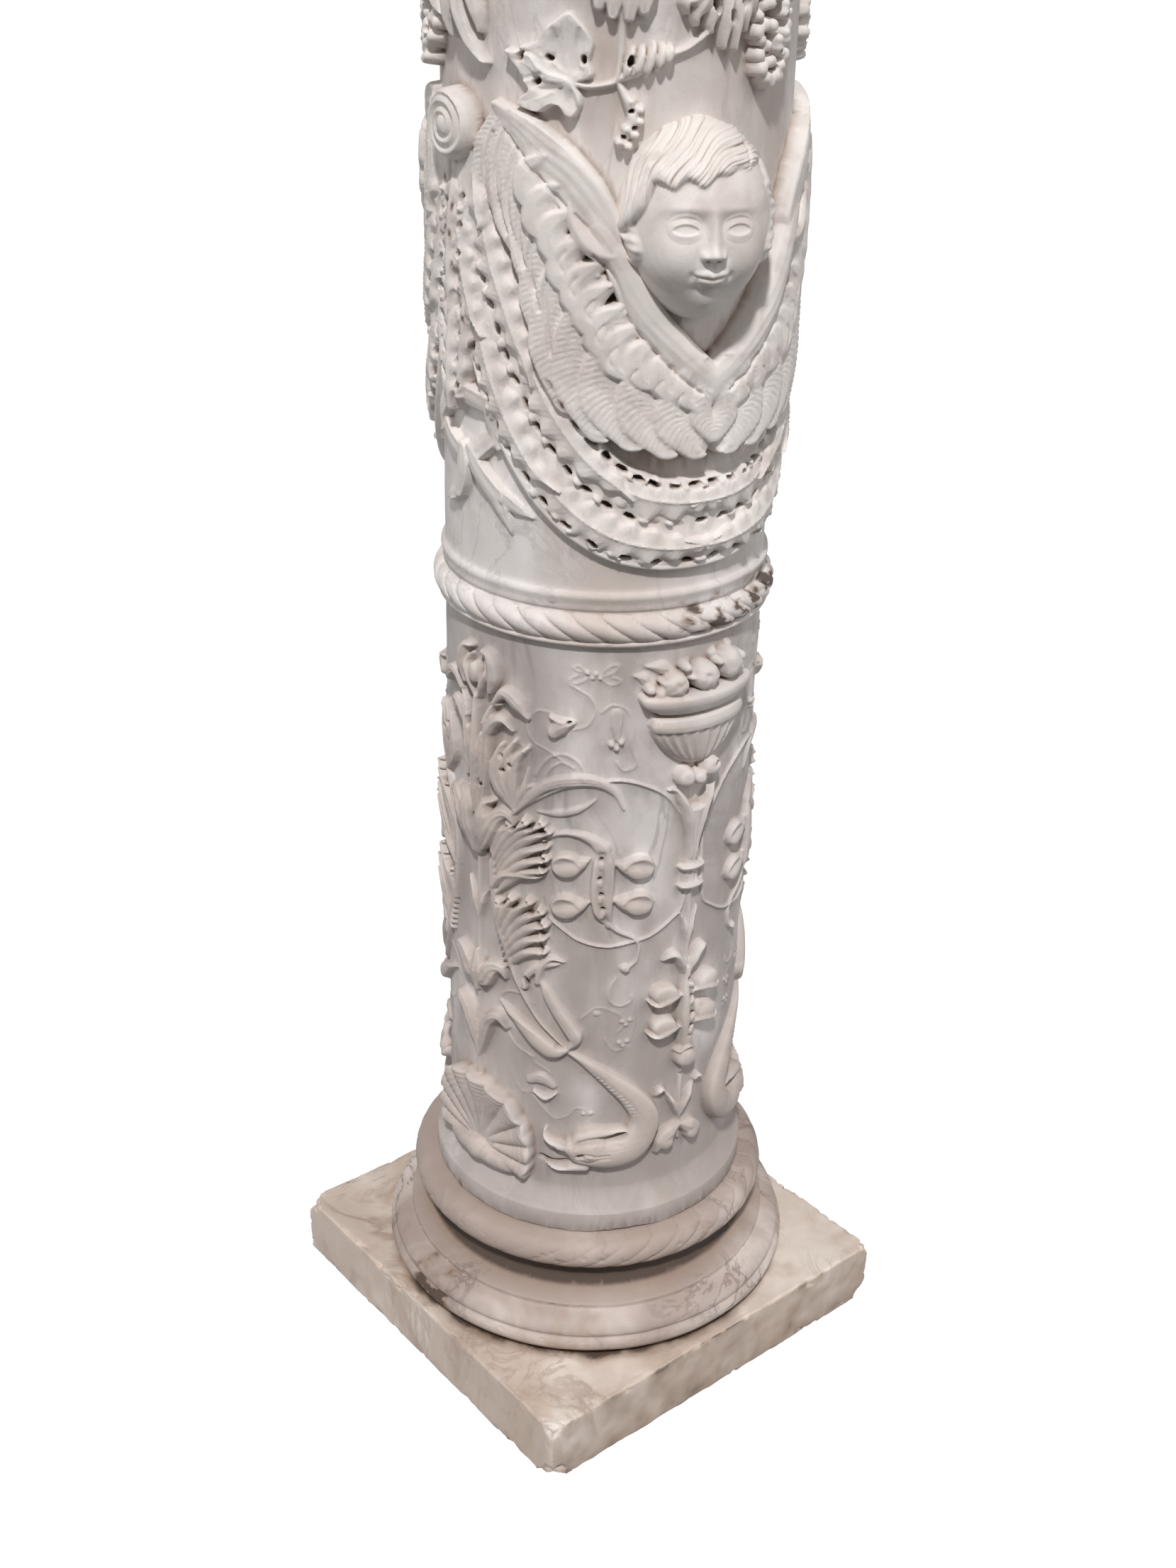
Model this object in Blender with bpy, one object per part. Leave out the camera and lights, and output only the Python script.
"""Carved marble column in five stones: plinth, base mouldings, two drums and a capital.

Metres, +Z up. The column stands on z = 0 with its axis on the Z axis, and its plinth sides lie along X and Y.
The carving is set out on a sheet wrapped round the shaft: degrees across, and rows up from the foot of the drum.
A row is one millimetre at the size the carving was drawn at, and it stretches with the drum.
"""

import math

import bmesh
import bpy
from mathutils import Vector

# Plinth, a square slab
PLINTH_SIDE = 0.460
PLINTH_HEIGHT = 0.072
PLINTH_EDGE_WEAR = 0.003
CORNER_CHIP = 0.016

# Beds between the stones
BED_GAP = 0.0003

# Base mouldings, turned
SEAT_RADIUS = 0.200
SEAT_HEIGHT = 0.008
TORUS_RADIUS = 0.223
TORUS_HEIGHT = 0.044
TORUS_FILLET_RADIUS = 0.198
SCOTIA_RADIUS = 0.166
SCOTIA_HEIGHT = 0.040
BASE_ROPE_RADIUS = 0.176
BASE_ROPE_THICKNESS = 0.035
BASE_TOP_RADIUS = 0.169
BASE_HEIGHT = 0.127
ROPE_STRANDS = 36
ROPE_GROOVE = 0.0035

# Drums
SHAFT_RADIUS = 0.152
FOOT_RADIUS = 0.168
FOOT_HEIGHT = 0.023
FOOT_COVE_HEIGHT = 0.026
LOWER_DRUM_HEIGHT = 0.6617
UPPER_DRUM_HEIGHT = 1.111
BAND_FILLET_RADIUS = 0.159
BAND_FILLET_HEIGHT = 0.006
BAND_ROPE_RADIUS = 0.1497
BAND_ROPE_THICKNESS = 0.0286
BAND_HEIGHT = 0.056
SIDES_ROUND = 40

# Rows that each drum's carving was drawn on
LOWER_ROWS = 661.7
LOWER_START_ROW = 4.0
UPPER_ROWS = 1111.0
DEGREE_ROWS = 2.653

# Where the carving faces, in degrees from +X
URN_AXIS = -91.0
CHERUB_AXIS = -98.0

# How far the carving stands out of the shaft
RELIEF_FINE = 0.004
RELIEF_LOW = 0.008
RELIEF_MID = 0.013
RELIEF_HIGH = 0.022
RELIEF_ROOT = 0.0025

# Cherub's head
HEAD_WIDTH = 0.124
HEAD_HEIGHT = 0.158
HEAD_FRONT = 0.222
HEAD_TURN = -7.0

# Capital
NECK_BEAD_RADIUS = 0.163
NECK_BEAD_HEIGHT = 0.026
NECK_HEIGHT = 0.036
ECHINUS_RADIUS = 0.205
ECHINUS_HEIGHT = 0.046
ABACUS_SIDE = 0.440
ABACUS_HEIGHT = 0.042
TONGUES = 12

# Share of the facets kept after the carving is joined
ALL_FACETS = 1.0
BASE_FACETS = 0.75
DRUM_FACETS = 0.33

MARBLE_WARM = (0.62, 0.53, 0.44)
MARBLE_GREY = (0.60, 0.56, 0.53)
MARBLE_PALE = (0.66, 0.62, 0.58)


def clear_scene():
    for thing in list(bpy.data.objects):
        bpy.data.objects.remove(thing, do_unlink=True)


def marble(name, colour):
    material = bpy.data.materials.new(name)
    material.use_nodes = True
    shader = material.node_tree.nodes["Principled BSDF"]
    shader.inputs["Base Color"].default_value = (*colour, 1.0)
    shader.inputs["Roughness"].default_value = 0.55
    shader.inputs["Metallic"].default_value = 0.0
    return material


def solid(name, points, faces):
    """One closed mesh object with its faces pointing out."""
    work = bmesh.new()
    corners = [work.verts.new(point) for point in points]
    for face in faces:
        work.faces.new([corners[i] for i in face])
    bmesh.ops.recalc_face_normals(work, faces=work.faces[:])
    bmesh.ops.triangulate(work, faces=work.faces[:])
    if work.calc_volume(signed=True) < 0:
        bmesh.ops.reverse_faces(work, faces=work.faces[:])
    mesh = bpy.data.meshes.new(name)
    work.to_mesh(mesh)
    work.free()
    made = bpy.data.objects.new(name, mesh)
    bpy.context.scene.collection.objects.link(made)
    return made


def polar(angle_deg, radius, height):
    turn = math.radians(angle_deg)
    return Vector((radius * math.cos(turn), radius * math.sin(turn), height))


def loft(name, rings):
    """Closed body through equal rings of points, with a flat or pointed cap at each end."""
    count = len(rings[0])
    points = [point for ring in rings for point in ring]
    faces = []
    for k in range(len(rings) - 1):
        low = k * count
        high = low + count
        for i in range(count):
            after = (i + 1) % count
            faces.append((low + i, low + after, high + after, high + i))
    faces.append(tuple(range(count)))
    faces.append(tuple(len(points) - 1 - i for i in range(count)))
    return solid(name, points, faces)


def turned(name, profile, sides=SIDES_ROUND):
    """Lathe body from (radius, height) pairs listed from the foot up."""
    rings = []
    for radius, height in profile:
        rings.append([polar(360.0 * i / sides, radius, height) for i in range(sides)])
    return loft(name, rings)


def rope_ring(name, centre_radius, centre_height, thickness, strands):
    """Torus cut into slanting strands, closed round its inner side by a plain face."""
    steps = 2 * strands
    sections = (-75.0, -10.0, 60.0)
    inner = centre_radius - 0.45 * thickness
    rings = []
    for i in range(steps):
        cut = ROPE_GROOVE if i % 2 else 0.0
        ring = []
        for section in sections:
            lean = 360.0 / strands * (60.0 - section) / 135.0
            turn = 360.0 * i / steps + lean
            tube = thickness / 2 - cut
            out = centre_radius + tube * math.cos(math.radians(section))
            ring.append(polar(turn, out, centre_height + tube * math.sin(math.radians(section))))
        turn = 360.0 * i / steps
        ring.append(polar(turn, inner, centre_height + 0.4 * thickness))
        ring.append(polar(turn + 360.0 / strands, inner, centre_height - 0.4 * thickness))
        rings.append(ring)
    count = len(rings[0])
    points = [point for ring in rings for point in ring]
    faces = []
    for i in range(steps):
        low = i * count
        high = ((i + 1) % steps) * count
        for k in range(count):
            after = (k + 1) % count
            faces.append((low + k, low + after, high + after, high + k))
    return solid(name, points, faces)


def keep_outer_skin(body):
    """Fills the pockets that overlapping carving closes off, by keeping only the largest skin."""
    work = bmesh.new()
    work.from_mesh(body.data)
    waiting = set(work.faces)
    skins = []
    while waiting:
        start = waiting.pop()
        skin = {start}
        front = [start]
        while front:
            face = front.pop()
            for edge in face.edges:
                for other in edge.link_faces:
                    if other in waiting:
                        waiting.discard(other)
                        skin.add(other)
                        front.append(other)
        skins.append(skin)
    skins.sort(key=len)
    for skin in skins[:-1]:
        bmesh.ops.delete(work, geom=list(skin), context="FACES")
    work.to_mesh(body.data)
    work.free()


def thinned(body, detail):
    """Fewer, larger facets where the surface is nearly flat."""
    clean = body.modifiers.new("facets", "DECIMATE")
    clean.decimate_type = "COLLAPSE"
    clean.ratio = detail
    clean.use_collapse_triangulate = True
    bpy.context.view_layer.update()
    graph = bpy.context.evaluated_depsgraph_get()
    mesh = bpy.data.meshes.new_from_object(body.evaluated_get(graph))
    body.modifiers.clear()
    body.data = mesh


def united(name, parts, material, detail):
    """All the parts joined into one closed body."""
    base = parts[0]
    if len(parts) > 1:
        group = bpy.data.collections.new(name + "_carving")
        bpy.context.scene.collection.children.link(group)
        for part in parts[1:]:
            bpy.context.scene.collection.objects.unlink(part)
            group.objects.link(part)
        join = base.modifiers.new("carving", "BOOLEAN")
        join.operation = "UNION"
        join.solver = "EXACT"
        join.operand_type = "COLLECTION"
        join.collection = group
        bpy.context.view_layer.update()
        graph = bpy.context.evaluated_depsgraph_get()
        joined = bpy.data.meshes.new_from_object(base.evaluated_get(graph))
        base.modifiers.clear()
        base.data = joined
        for part in parts[1:]:
            bpy.data.objects.remove(part, do_unlink=True)
        bpy.data.collections.remove(group)
        keep_outer_skin(base)
        if detail < ALL_FACETS:
            thinned(base, detail)
    base.name = name
    base.data.materials.clear()
    base.data.materials.append(material)
    return base


class Sheet:
    """A drawing wrapped round the shaft, centred on one axis and perhaps mirrored."""

    def __init__(self, axis_deg, foot, rise, flip=1):
        self.axis = axis_deg
        self.foot = foot
        self.rise = rise
        self.flip = flip

    def point(self, across, row, out):
        """Point at degrees across and rows up, standing out from the shaft."""
        return polar(self.axis + self.flip * across, SHAFT_RADIUS + out, self.foot + row * self.rise)


def pad(sheet, outline, height, crown=0.75, lean=(0.0, 0.0)):
    """Raised patch with a soft crown. The outline is (degrees, row) pairs in order."""
    count = len(outline)
    mid_x = sum(x for x, _ in outline) / count + lean[0]
    mid_y = sum(y for _, y in outline) / count + lean[1]
    root = [sheet.point(x, y, -RELIEF_ROOT) for x, y in outline]
    top = []
    for x, y in outline:
        top.append(sheet.point(mid_x + crown * (x - mid_x), mid_y + crown * (y - mid_y), height))
    return loft("pad", [root, top])


def leaf(sheet, root, tip, width, height, bend=0.0, steps=3, belly=0.45):
    """Pointed leaf with a raised rib. Root and tip are (degrees, row), width and bend are in rows."""
    start = Vector((root[0] * DEGREE_ROWS, root[1]))
    end = Vector((tip[0] * DEGREE_ROWS, tip[1]))
    along = end - start
    across = Vector((-along.y, along.x)).normalized()
    rings = []
    for k in range(steps + 1):
        share = k / steps
        swell = math.sin(math.pi * min(max(share, 0.06), 0.95) ** (math.log(0.5) / math.log(belly)))
        half = 0.5 * width * max(swell, 0.12)
        spine = start + along * share + across * (bend * math.sin(math.pi * share))
        lift = height * (0.35 + 0.65 * math.sin(math.pi * (0.12 + 0.7 * share)))
        ring = []
        for side, out in ((-1.0, -RELIEF_ROOT), (0.0, lift), (1.0, -RELIEF_ROOT)):
            spot = spine + across * (side * half)
            ring.append(sheet.point(spot.x / DEGREE_ROWS, spot.y, out))
        rings.append(ring)
    return loft("leaf", rings)


def band(sheet, path, widths, heights, serrate=0.0):
    """Stem, body or garland along a path of (degrees, row), with widths and heights at its ends and middle."""
    spots = [Vector((x * DEGREE_ROWS, y)) for x, y in path]
    last = len(spots) - 1
    rings = []
    for k, spot in enumerate(spots):
        ahead = spots[min(k + 1, last)] - spots[max(k - 1, 0)]
        across = Vector((-ahead.y, ahead.x)).normalized()
        share = k / last
        half = 0.5 * blend(widths, share)
        lift = blend(heights, share)
        if serrate and k % 2:
            half *= 1.0 - serrate
        ring = []
        for side, out in ((-1.0, -RELIEF_ROOT), (-0.55, lift), (0.55, lift), (1.0, -RELIEF_ROOT)):
            place = spot + across * (side * half)
            ring.append(sheet.point(place.x / DEGREE_ROWS, place.y, out))
        rings.append(ring)
    return loft("band", rings)


def stem(sheet, path, width, height):
    """Thin stem with a three sided section."""
    spots = [Vector((x * DEGREE_ROWS, y)) for x, y in path]
    last = len(spots) - 1
    rings = []
    for k, spot in enumerate(spots):
        ahead = spots[min(k + 1, last)] - spots[max(k - 1, 0)]
        across = Vector((-ahead.y, ahead.x)).normalized()
        ring = []
        for side, out in ((-0.5, -RELIEF_ROOT), (0.0, height), (0.5, -RELIEF_ROOT)):
            place = spot + across * (side * width)
            ring.append(sheet.point(place.x / DEGREE_ROWS, place.y, out))
        rings.append(ring)
    return loft("stem", rings)


def blend(values, share):
    """Value at a share of the way through (start, middle, end)."""
    start, middle, end = values
    if share < 0.5:
        return start + (middle - start) * share * 2.0
    return middle + (end - middle) * (share * 2.0 - 1.0)


def curve(corners, steps):
    """Smooth path through a few (degrees, row) corners."""
    count = len(corners)
    path = []
    for k in range(steps + 1):
        where = (count - 1) * k / steps
        i = min(int(where), count - 2)
        t = where - i
        before = Vector(corners[max(i - 1, 0)])
        here = Vector(corners[i])
        after = Vector(corners[i + 1])
        beyond = Vector(corners[min(i + 2, count - 1)])
        spot = 0.5 * (2.0 * here + (after - before) * t + (2.0 * before - 5.0 * here + 4.0 * after - beyond) * t**2
                      + (3.0 * here - before - 3.0 * after + beyond) * t**3)
        path.append((spot.x, spot.y))
    return path


def circle_path(centre, radius, start_deg, end_deg, steps):
    """Path round a circle drawn on the sheet."""
    path = []
    for k in range(steps + 1):
        turn = math.radians(start_deg + (end_deg - start_deg) * k / steps)
        path.append((centre[0] + radius * math.cos(turn) / DEGREE_ROWS, centre[1] + radius * math.sin(turn)))
    return path


def berry(sheet, centre, half_wide, half_high, out, sink=0.35, around=6, up=3):
    """Fruit, bud or berry standing out of the shaft. Half sizes are in rows."""
    rings = []
    for j in range(up + 1):
        lift = math.pi * (0.06 + 0.88 * j / up)
        ring = []
        for i in range(around):
            turn = 2.0 * math.pi * (i + 0.5 * (j % 2)) / around
            x = centre[0] + half_wide * math.sin(lift) * math.cos(turn) / DEGREE_ROWS
            y = centre[1] + half_high * math.sin(lift) * math.sin(turn)
            depth = out * (1.0 + math.cos(lift)) / 2.0
            ring.append(sheet.point(x, y, depth - sink * out * (1.0 - math.cos(lift)) / 2.0))
        rings.append(ring)
    return loft("berry", rings)


def lobed(centre, radius, lobes, depth, steps, start=0.0, sweep=360.0):
    """Outline of a leaf or shell with rounded lobes."""
    outline = []
    for k in range(steps):
        turn = math.radians(start + sweep * k / (steps - (1 if sweep < 360.0 else 0)))
        reach = radius * (1.0 - depth * (0.5 - 0.5 * math.cos(lobes * turn)))
        outline.append((centre[0] + reach * math.cos(turn) / DEGREE_ROWS, centre[1] + reach * math.sin(turn)))
    return outline


def half_bowl(sheet, levels, out, steps=8):
    """Bowl cut through its axis. Levels are (row, half width in rows) from the foot up."""
    rings = []
    widest = max(half for _, half in levels)
    for row, half in levels:
        ring = []
        for i in range(steps + 1):
            turn = math.pi * i / steps
            depth = out * half / widest * math.sin(turn)
            ring.append(sheet.point(-half * math.cos(turn) / DEGREE_ROWS, row, depth))
        ring.append(sheet.point(half / DEGREE_ROWS, row, -RELIEF_ROOT))
        ring.append(sheet.point(-half / DEGREE_ROWS, row, -RELIEF_ROOT))
        rings.append(ring)
    return loft("bowl", rings)


def urn_candelabrum(sheet):
    """Stem of pods and leaves that carries a fluted bowl of fruit."""
    made = []
    for side in (-1, 1):
        made.append(leaf(sheet, (0, 104), (side * 13, 80), 22, RELIEF_MID))
        made.append(leaf(sheet, (0, 146), (side * 10, 169), 9, RELIEF_LOW, bend=-side * 4))
        made.append(berry(sheet, (side * 12, 272), 17, 13, RELIEF_HIGH))
        made.append(berry(sheet, (side * 13, 238), 17, 13, RELIEF_HIGH))
        made.append(leaf(sheet, (side, 300), (side * 13, 329), 14, RELIEF_MID, bend=-side * 5))
        made.append(leaf(sheet, (0, 352), (side * 5, 383), 7, RELIEF_LOW, steps=2))
        made.append(berry(sheet, (side * 8, 526), 11, 11, RELIEF_HIGH))
    made.append(leaf(sheet, (0, 104), (0, 58), 24, RELIEF_HIGH))
    made.append(berry(sheet, (1, 199), 15, 17, RELIEF_HIGH))
    made.append(berry(sheet, (1, 256), 15, 44, RELIEF_MID))
    made.append(stem(sheet, [(0, 95), (0, 300), (0, 440)], 7, RELIEF_LOW))
    for row in (412, 435):
        made.append(band(sheet, [(-6.5, row), (0, row), (6.5, row)], (8, 8, 8), (RELIEF_LOW, RELIEF_MID, RELIEF_LOW)))
    made.append(half_bowl(sheet, ((404, 12), (438, 12)), RELIEF_LOW, 4))
    made.append(half_bowl(sheet, ((440, 7), (480, 9), (512, 26)), RELIEF_MID, 4))
    made.append(berry(sheet, (0, 522), 14, 13, RELIEF_HIGH))
    made.append(half_bowl(sheet, ((540, 20), (552, 40), (570, 50), (578, 52)), RELIEF_HIGH))
    made.append(half_bowl(sheet, ((577, 48), (592, 50), (598, 62), (612, 64)), 1.2 * RELIEF_HIGH))
    for across, row, size in ((-14, 629, 15), (0, 630, 16), (12, 637, 16)):
        made.append(berry(sheet, (across, row), size, size, 1.3 * RELIEF_HIGH))
    made.append(berry(sheet, (-22, 628), 9, 8, RELIEF_MID))
    made.append(berry(sheet, (20, 630), 9, 9, RELIEF_MID))
    return made


def shell_candelabrum(sheet):
    """Scallop shell with a stem, a cup and a tall calyx above it."""
    made = []
    shell = lobed((0, 62), 66, 9, 0.10, 19, 0.0, 180.0)
    shell += [(-12, 46), (0, 40), (12, 46)]
    made.append(pad(sheet, shell, RELIEF_HIGH, 0.9, (0.0, 6.0)))
    made.append(berry(sheet, (0, 60), 18, 20, 1.2 * RELIEF_HIGH))
    made.append(stem(sheet, [(0, 120), (0, 300), (0, 450)], 8, RELIEF_LOW))
    for side in (-1, 1):
        made.append(leaf(sheet, (side, 196), (side * 9, 232), 16, RELIEF_MID, bend=side * 4))
        made.append(leaf(sheet, (0, 276), (side * 12, 304), 24, RELIEF_MID))
        made.append(leaf(sheet, (side * 3, 480), (side * 11, 560), 30, RELIEF_HIGH, bend=side * 6))
        made.append(leaf(sheet, (0, 570), (side * 14, 590), 20, RELIEF_MID, bend=side * 8))
    made.append(leaf(sheet, (0, 276), (0, 322), 24, RELIEF_MID))
    made.append(half_bowl(sheet, ((440, 8), (458, 26), (482, 34)), 1.2 * RELIEF_HIGH, 5))
    made.append(leaf(sheet, (0, 480), (0, 590), 28, RELIEF_HIGH))
    made.append(berry(sheet, (0, 618), 14, 18, RELIEF_HIGH))
    return made


def dolphin_field(sheet):
    """Dolphin whose tail grows into acanthus scrolls. Degrees run from the shell axis to the urn axis."""
    made = []
    body = curve(((48, 92), (62, 78), (75, 96), (80, 132), (72, 176), (56, 204), (43, 222)), 11)
    made.append(band(sheet, body, (40, 30, 6), (1.1 * RELIEF_HIGH, RELIEF_HIGH, RELIEF_FINE)))
    made.append(berry(sheet, (54, 96), 32, 25, 1.2 * RELIEF_HIGH))
    made.append(band(sheet, ((47, 90), (40, 84), (35, 92), (33, 112)), (22, 12, 6), (RELIEF_HIGH, RELIEF_MID, RELIEF_MID)))
    made.append(band(sheet, ((50, 74), (42, 72), (34, 72)), (12, 10, 8), (RELIEF_MID, RELIEF_MID, RELIEF_LOW)))
    made.append(leaf(sheet, (60, 122), (43, 126), 18, RELIEF_MID))
    made.append(leaf(sheet, (42, 218), (15, 258), 26, RELIEF_MID, bend=-8))
    made.append(leaf(sheet, (45, 220), (38, 285), 24, RELIEF_MID, bend=-5))
    outer = curve(((43, 222), (29, 267), (18, 307), (11, 377), (11, 447), (21, 477)), 9)
    made.append(stem(sheet, outer, 7, RELIEF_LOW))
    made.append(leaf(sheet, (33, 275), (34, 322), 12, RELIEF_LOW, bend=6))
    for row in (340, 425):
        made.append(pad(sheet, half_acanthus(14, row, 22, 58), RELIEF_MID, 0.8, (-1.0, 0.0)))
    made.append(leaf(sheet, (12, 485), (20, 552), 30, RELIEF_LOW, bend=-8))
    made.append(band(sheet, curve(((21, 477), (36, 512), (46, 520), (61, 490)), 6), (6, 14, 4),
                     (RELIEF_FINE, RELIEF_LOW, RELIEF_FINE)))
    made.append(stem(sheet, circle_path((56, 437), 87, 96, -130, 14), 5, RELIEF_FINE))
    inner = curve(((34, 462), (43, 469), (52, 459), (54, 410), (56, 367), (66, 349), (65, 318)), 10)
    made.append(band(sheet, inner, (5, 12, 5), (RELIEF_FINE, RELIEF_LOW, RELIEF_FINE)))
    for across in (41, 67):
        for row in (437, 391):
            made.append(berry(sheet, (across, row), 20, 14, RELIEF_MID))
    made.append(leaf(sheet, (30, 592), (42, 580), 24, RELIEF_LOW))
    made.append(leaf(sheet, (56, 606), (57, 566), 22, RELIEF_FINE))
    made.append(leaf(sheet, (33, 176), (33, 154), 30, RELIEF_LOW))
    return made


def half_acanthus(left, row, wide, high):
    """Outline of a leaf that hangs from a stem on its left and is cut into lobes on its right."""
    outline = [(left, row - 0.6 * high), (left - 2, row), (left + 2, row + 0.45 * high)]
    lobes = 4
    for k in range(2 * lobes + 1):
        share = k / (2 * lobes)
        turn = math.radians(80.0 - 150.0 * share)
        reach = 1.0 if k % 2 == 0 else 0.78
        outline.append((left + 0.2 * wide + 0.8 * wide * reach * math.cos(turn), row + 0.6 * high * reach * math.sin(turn)))
    return outline


def head(sheet):
    """Child's head with a cap of hair, calm and plain."""
    made = []
    axis = sheet.axis + sheet.flip * HEAD_TURN
    centre_out = HEAD_FRONT - 0.55 * HEAD_WIDTH
    centre = polar(axis, centre_out, sheet.foot + 377 * sheet.rise)
    outward = polar(axis, 1.0, 0.0)
    beside = Vector((-outward.y, outward.x, 0.0))
    shapes = (
        (0.0, 0.0, -0.010, 0.47 * HEAD_WIDTH, 0.44 * HEAD_HEIGHT, 0.52 * HEAD_WIDTH, 12, 8),
        (0.0, -0.008, 0.026, 0.53 * HEAD_WIDTH, 0.36 * HEAD_HEIGHT, 0.56 * HEAD_WIDTH, 12, 6),
        (-0.48 * HEAD_WIDTH, -0.004, 0.0, 0.014, 0.034, 0.020, 6, 4),
        (0.48 * HEAD_WIDTH, -0.004, 0.0, 0.014, 0.034, 0.020, 6, 4),
        (0.0, 0.050, -0.016, 0.011, 0.017, 0.015, 6, 4),
        (0.0, 0.036, -0.058, 0.024, 0.014, 0.016, 6, 4),
    )
    for aside, forward, up, wide, high, deep, around, levels in shapes:
        middle = centre + beside * aside + outward * forward + Vector((0.0, 0.0, up))
        rings = []
        for j in range(levels + 1):
            lift = math.pi * (0.05 + 0.9 * j / levels)
            ring = []
            for i in range(around):
                turn = 2.0 * math.pi * i / around
                spot = middle + beside * (wide * math.sin(lift) * math.cos(turn))
                spot = spot + outward * (deep * math.sin(lift) * math.sin(turn))
                ring.append(spot + Vector((0.0, 0.0, -high * math.cos(lift))))
            rings.append(ring)
        made.append(loft("head", rings))
    return made


def wing(sheet):
    """Wing from under the chin up to the knob: a rolled leading edge over a sheet of rounded feathers."""
    upper = curve(((3, 258), (-16, 288), (-30, 350), (-46, 405), (-74, 450)), 5)
    lower = curve(((-72, 412), (-58, 335), (-48, 262), (-26, 206), (3, 188)), 14)
    ragged = []
    for k, (across, row) in enumerate(lower):
        notch = 9.0 if k % 2 else 0.0
        ragged.append((across + notch / DEGREE_ROWS, row + 0.6 * notch))
    sheet_of_feathers = pad(sheet, upper + ragged, 0.6 * RELIEF_HIGH, 0.93)
    ridge = curve(((5, 246), (-17, 286), (-30, 352), (-44, 402), (-60, 440), (-72, 452)), 9)
    rolled_edge = band(sheet, ridge, (34, 28, 14), (RELIEF_HIGH, 0.85 * RELIEF_HIGH, RELIEF_MID))
    coverts = curve(((2, 216), (-20, 244), (-36, 316), (-52, 380)), 8)
    return [sheet_of_feathers, rolled_edge, band(sheet, coverts, (34, 40, 20), (0.8 * RELIEF_HIGH, 0.8 * RELIEF_HIGH, RELIEF_MID), 0.25)]


def half_swag(sheet):
    """Garland from the knob down to the middle of the drum's front, with leafy edges."""
    drop = curve(((-86, 372), (-78, 306), (-69, 250), (-58, 205), (-44, 160), (-27, 128), (-12, 116), (1, 114)), 18)
    return [band(sheet, drop, (44, 88, 92), (RELIEF_MID, RELIEF_HIGH, RELIEF_HIGH), 0.12)]


def knob(sheet):
    """Volute disc with the tied garland and ribbon ends that hang from it."""
    made = []
    for radius, out in ((29, RELIEF_HIGH), (18, 1.2 * RELIEF_HIGH), (8, 1.4 * RELIEF_HIGH)):
        ring = lobed((0, 439), radius, 1, 0.0, 14)
        made.append(pad(sheet, ring, out, 0.95))
    drop = [(0, 415 - 30 * k) for k in range(8)]
    made.append(band(sheet, drop, (36, 58, 30), (RELIEF_MID, RELIEF_HIGH, RELIEF_LOW), 0.2))
    for side in (-1, 1):
        path = ((side * 5, 190), (side * 16, 186), (side * 8, 150), (side * 20, 130), (side * 26, 104))
        made.append(band(sheet, path, (20, 22, 12), (RELIEF_LOW, RELIEF_MID, RELIEF_FINE)))
    return made


def vine_leaf(sheet, across, row, size):
    return pad(sheet, lobed((across, row), size, 5, 0.42, 15, 18.0), RELIEF_MID, 0.75)


def grapes(sheet, across, row):
    made = []
    for k, (side, drop) in enumerate(((0, 0), (-4, 18), (4, 18), (0, 34))):
        made.append(berry(sheet, (across + side, row + drop), 15, 14, RELIEF_HIGH if k else RELIEF_MID))
    return made


def climbing_vine(sheet):
    """Vine that winds up the drum above the cherub, with leaves and grapes at its turns."""
    made = []
    corners = [(-24, 484), (-32, 560), (-20, 650), (-34, 740), (-20, 830), (-32, 920), (-24, 1040)]
    made.append(stem(sheet, curve(corners, 14), 9, RELIEF_LOW))
    for k, (across, row) in enumerate(((-52, 496), (-6, 570), (-46, 660), (-8, 745), (-48, 835), (-10, 925))):
        if k == 1:
            continue
        made.append(vine_leaf(sheet, across, row, 38))
    for across, row in ((26, 500), (-70, 580), (6, 660), (-66, 745), (6, 835)):
        made += grapes(sheet, across, row)
        made.append(stem(sheet, [(across, row + 40), ((across - 26) / 2, row + 62), (-26, row + 40)], 6, RELIEF_FINE))
    return made


def build_plinth():
    half = PLINTH_SIDE / 2
    wear = PLINTH_EDGE_WEAR
    rings = []
    for height, inset in ((0.0, wear), (wear, 0.0), (PLINTH_HEIGHT - wear, 0.0), (PLINTH_HEIGHT, wear)):
        reach = half - inset
        cut = CORNER_CHIP if height in (0.0, PLINTH_HEIGHT) else wear
        ring = [(-reach, -reach + cut), (-reach + cut, -reach), (reach - wear, -reach), (reach, -reach + wear)]
        ring += [(reach, reach - wear), (reach - wear, reach), (-reach + wear, reach), (-reach, reach - wear)]
        rings.append([Vector((x, y, height)) for x, y in ring])
    return united("plinth", [loft("slab", rings)], marble("plinth_marble", MARBLE_WARM), ALL_FACETS)


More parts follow.
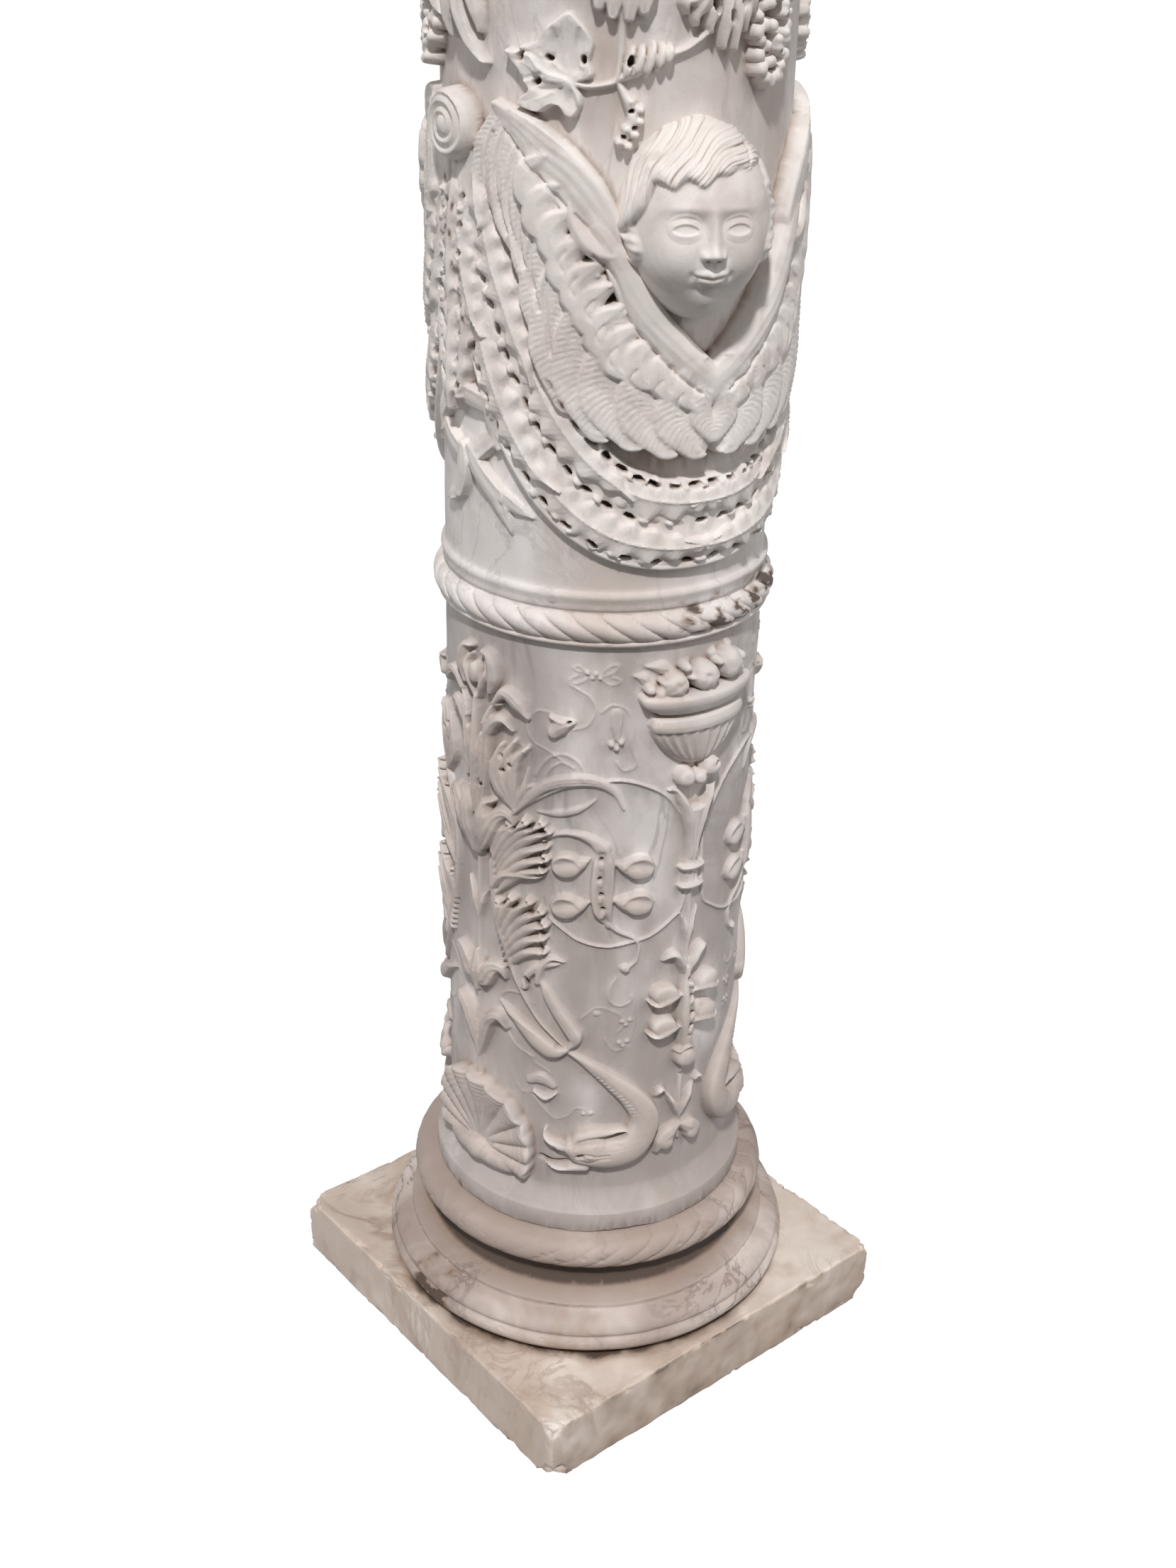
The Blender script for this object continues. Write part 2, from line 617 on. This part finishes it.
def build_base(foot):
    top = foot + BASE_HEIGHT - BED_GAP
    torus_mid = foot + SEAT_HEIGHT + 0.28 * TORUS_HEIGHT
    torus_top = foot + SEAT_HEIGHT + TORUS_HEIGHT
    scotia_top = torus_top + SCOTIA_HEIGHT
    bite = 0.005
    profile = [
        (SEAT_RADIUS, foot + BED_GAP),
        (SEAT_RADIUS, foot + SEAT_HEIGHT - 0.003),
        (TORUS_RADIUS - 0.010, foot + SEAT_HEIGHT),
        (TORUS_RADIUS, torus_mid),
        (TORUS_RADIUS - bite, torus_mid + 0.16 * TORUS_HEIGHT),
        (TORUS_RADIUS - bite, torus_mid + 0.24 * TORUS_HEIGHT),
        (TORUS_RADIUS - 0.009, torus_mid + 0.54 * TORUS_HEIGHT),
        (TORUS_FILLET_RADIUS, torus_mid + 0.62 * TORUS_HEIGHT),
        (TORUS_FILLET_RADIUS, torus_top),
        (SCOTIA_RADIUS + 0.45 * (TORUS_FILLET_RADIUS - SCOTIA_RADIUS), torus_top + 0.1 * SCOTIA_HEIGHT),
        (SCOTIA_RADIUS, torus_top + 0.5 * SCOTIA_HEIGHT),
        (SCOTIA_RADIUS, scotia_top),
        (BASE_TOP_RADIUS, top - 0.3 * BASE_ROPE_THICKNESS),
        (BASE_TOP_RADIUS, top),
    ]
    rope = rope_ring("rope", BASE_ROPE_RADIUS, top - 0.52 * BASE_ROPE_THICKNESS, BASE_ROPE_THICKNESS, ROPE_STRANDS)
    return united("base_mouldings", [turned("base", profile), rope], marble("base_marble", MARBLE_GREY), BASE_FACETS)


def build_lower_drum(foot):
    top = foot + LOWER_DRUM_HEIGHT
    profile = [
        (FOOT_RADIUS, foot + BED_GAP),
        (FOOT_RADIUS, foot + FOOT_HEIGHT),
        (0.6 * FOOT_RADIUS + 0.4 * SHAFT_RADIUS, foot + FOOT_HEIGHT + 0.3 * FOOT_COVE_HEIGHT),
        (SHAFT_RADIUS, foot + FOOT_HEIGHT + FOOT_COVE_HEIGHT),
        (SHAFT_RADIUS, top - BED_GAP),
    ]
    rise = LOWER_DRUM_HEIGHT / LOWER_ROWS
    start = foot - LOWER_START_ROW * rise
    parts = [turned("lower", profile)]
    for turn in (0, 180):
        parts += urn_candelabrum(Sheet(URN_AXIS + turn, start, rise))
        parts += shell_candelabrum(Sheet(URN_AXIS - 90 + turn, start, rise))
        for flip in (1, -1):
            parts += dolphin_field(Sheet(URN_AXIS - 90 + turn, start, rise, flip))
    return united("lower_drum", parts, marble("lower_drum_marble", MARBLE_GREY), DRUM_FACETS)


def build_upper_drum(foot):
    top = foot + UPPER_DRUM_HEIGHT
    rope_mid = foot + BAND_FILLET_HEIGHT + 0.42 * BAND_ROPE_THICKNESS
    band_top = foot + BAND_HEIGHT
    profile = [
        (BAND_FILLET_RADIUS, foot + BED_GAP),
        (BAND_FILLET_RADIUS, foot + BAND_FILLET_HEIGHT),
        (BAND_ROPE_RADIUS, foot + BAND_FILLET_HEIGHT + 0.1 * BAND_ROPE_THICKNESS),
        (BAND_ROPE_RADIUS, rope_mid + 0.3 * BAND_ROPE_THICKNESS),
        (SHAFT_RADIUS + 0.002, rope_mid + 0.6 * BAND_ROPE_THICKNESS),
        (SHAFT_RADIUS + 0.004, band_top - 0.006),
        (SHAFT_RADIUS + 0.003, band_top - 0.001),
        (SHAFT_RADIUS, band_top),
        (SHAFT_RADIUS, top - BED_GAP),
    ]
    rise = UPPER_DRUM_HEIGHT / UPPER_ROWS
    parts = [turned("upper", profile)]
    parts.append(rope_ring("rope", BAND_ROPE_RADIUS, rope_mid, BAND_ROPE_THICKNESS, ROPE_STRANDS))
    for turn in (0, 180):
        sheet = Sheet(CHERUB_AXIS + turn, foot, rise)
        parts += head(sheet)
        parts += climbing_vine(sheet)
        for flip in (1, -1):
            half = Sheet(CHERUB_AXIS + turn, foot, rise, flip)
            parts += wing(half)
            parts += half_swag(half)
        parts += knob(Sheet(CHERUB_AXIS - 89 + turn, foot, rise))
    return united("upper_drum", parts, marble("upper_drum_marble", MARBLE_PALE), DRUM_FACETS)


def build_capital(foot):
    bead_mid = foot + 0.5 * NECK_BEAD_HEIGHT
    bead_top = foot + NECK_BEAD_HEIGHT
    neck_top = bead_top + NECK_HEIGHT
    echinus_top = neck_top + ECHINUS_HEIGHT
    bead_edge = NECK_BEAD_RADIUS - 0.35 * (NECK_BEAD_RADIUS - SHAFT_RADIUS)
    profile = [
        (SHAFT_RADIUS, foot + BED_GAP),
        (bead_edge, foot + 0.18 * NECK_BEAD_HEIGHT),
        (NECK_BEAD_RADIUS, bead_mid),
        (bead_edge, bead_top - 0.18 * NECK_BEAD_HEIGHT),
        (SHAFT_RADIUS, bead_top),
        (SHAFT_RADIUS, neck_top),
        (SHAFT_RADIUS + 0.010, neck_top + 0.004),
        (SHAFT_RADIUS + 0.35 * (ECHINUS_RADIUS - SHAFT_RADIUS), neck_top + 0.35 * ECHINUS_HEIGHT),
        (ECHINUS_RADIUS - 0.006, neck_top + 0.8 * ECHINUS_HEIGHT),
        (ECHINUS_RADIUS, echinus_top + 0.002),
    ]
    parts = [turned("capital", profile)]
    for k in range(TONGUES):
        turn = 360.0 * (k + 0.5) / TONGUES
        parts.append(tongue(turn, neck_top, echinus_top))
    half = ABACUS_SIDE / 2
    wear = 0.003
    rings = []
    for height, inset in ((0.0, 0.014), (0.35, 0.012), (0.45, 0.0), (0.95, 0.0), (1.0, wear)):
        reach = half - inset
        rings.append([Vector((x, y, echinus_top + height * ABACUS_HEIGHT)) for x, y in
                      ((-reach, -reach), (reach, -reach), (reach, reach), (-reach, reach))])
    parts.append(loft("abacus", rings))
    return united("capital", parts, marble("capital_marble", MARBLE_PALE), ALL_FACETS)


def tongue(turn, low, high):
    """One upright tongue leaf on the echinus."""
    rings = []
    half_angle = 360.0 / TONGUES * 0.40
    for share, wide in ((0.02, 0.5), (0.45, 1.0), (0.93, 0.9)):
        radius = SHAFT_RADIUS + 0.006 + (ECHINUS_RADIUS - SHAFT_RADIUS) * share**0.85
        height = low + (high - low) * share
        ring = []
        for side, out in ((-1.0, -0.012), (-1.0, 0.002), (0.0, 0.008), (1.0, 0.002), (1.0, -0.012)):
            ring.append(polar(turn + side * wide * half_angle, radius + out, height))
        rings.append(ring)
    return loft("tongue", rings)


def main():
    clear_scene()
    build_plinth()
    base_foot = PLINTH_HEIGHT
    lower_foot = base_foot + BASE_HEIGHT
    upper_foot = lower_foot + LOWER_DRUM_HEIGHT
    capital_foot = upper_foot + UPPER_DRUM_HEIGHT
    build_base(base_foot)
    build_lower_drum(lower_foot)
    build_upper_drum(upper_foot)
    build_capital(capital_foot)


main()
